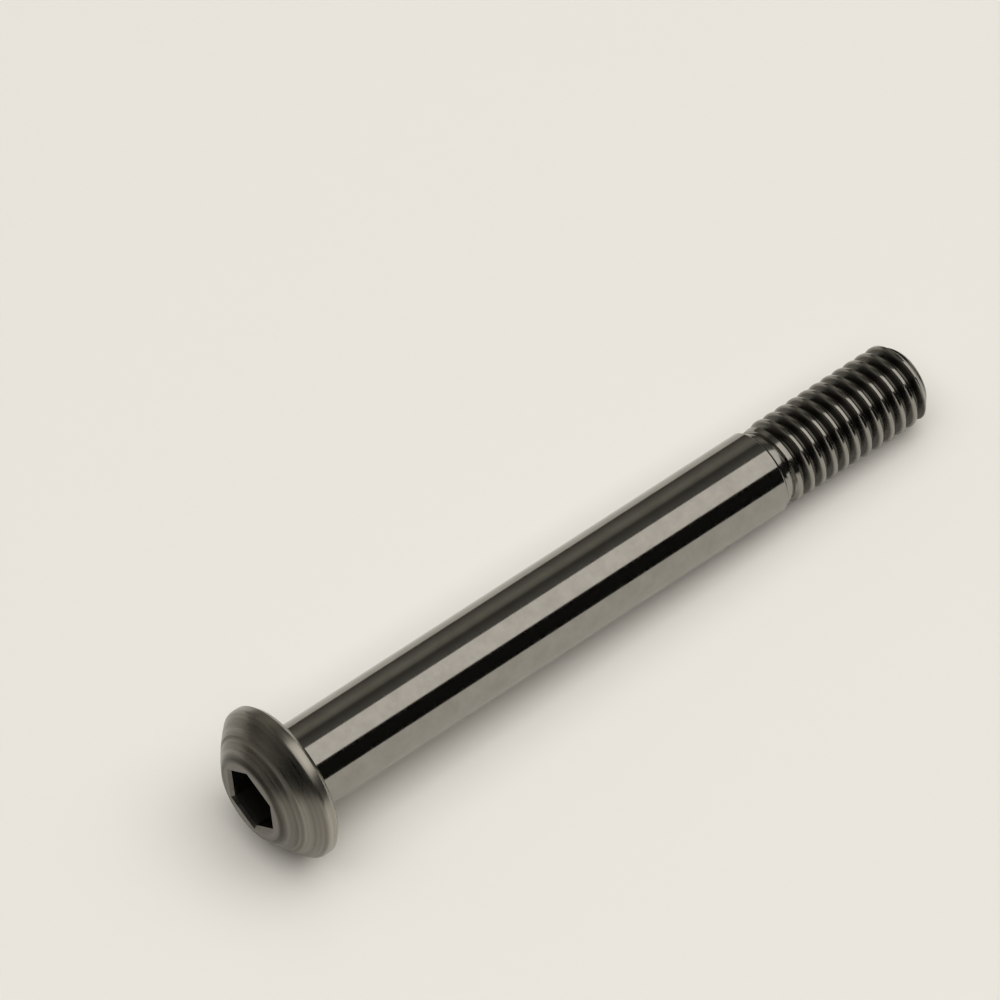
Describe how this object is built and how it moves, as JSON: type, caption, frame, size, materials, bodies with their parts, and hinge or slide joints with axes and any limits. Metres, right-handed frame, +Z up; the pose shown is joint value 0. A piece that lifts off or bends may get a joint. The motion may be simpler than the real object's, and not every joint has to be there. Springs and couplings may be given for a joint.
{
  "type": "shoulder bolt",
  "caption": "Shoulder bolt with a low domed hex-socket head, a long smooth polished shoulder and a short right-hand thread; clamps and acts as a pivot pin",
  "frame": {"origin": "centre of the bearing face under the head, on the bolt's axis", "axes": "+X runs from the head towards the thread and +Z is up; the bolt lies at rest, so its own axis dips 2.80 degrees below +X towards the thread end"},
  "size_m": [0.0558, 0.0108, 0.0109],
  "materials": {
    "dark_nickel": "polished dark nickel plate on steel"
  },
  "bodies": {
    "root": {"shoulder_bolt": "dark_nickel"}
  },
  "joints": []
}
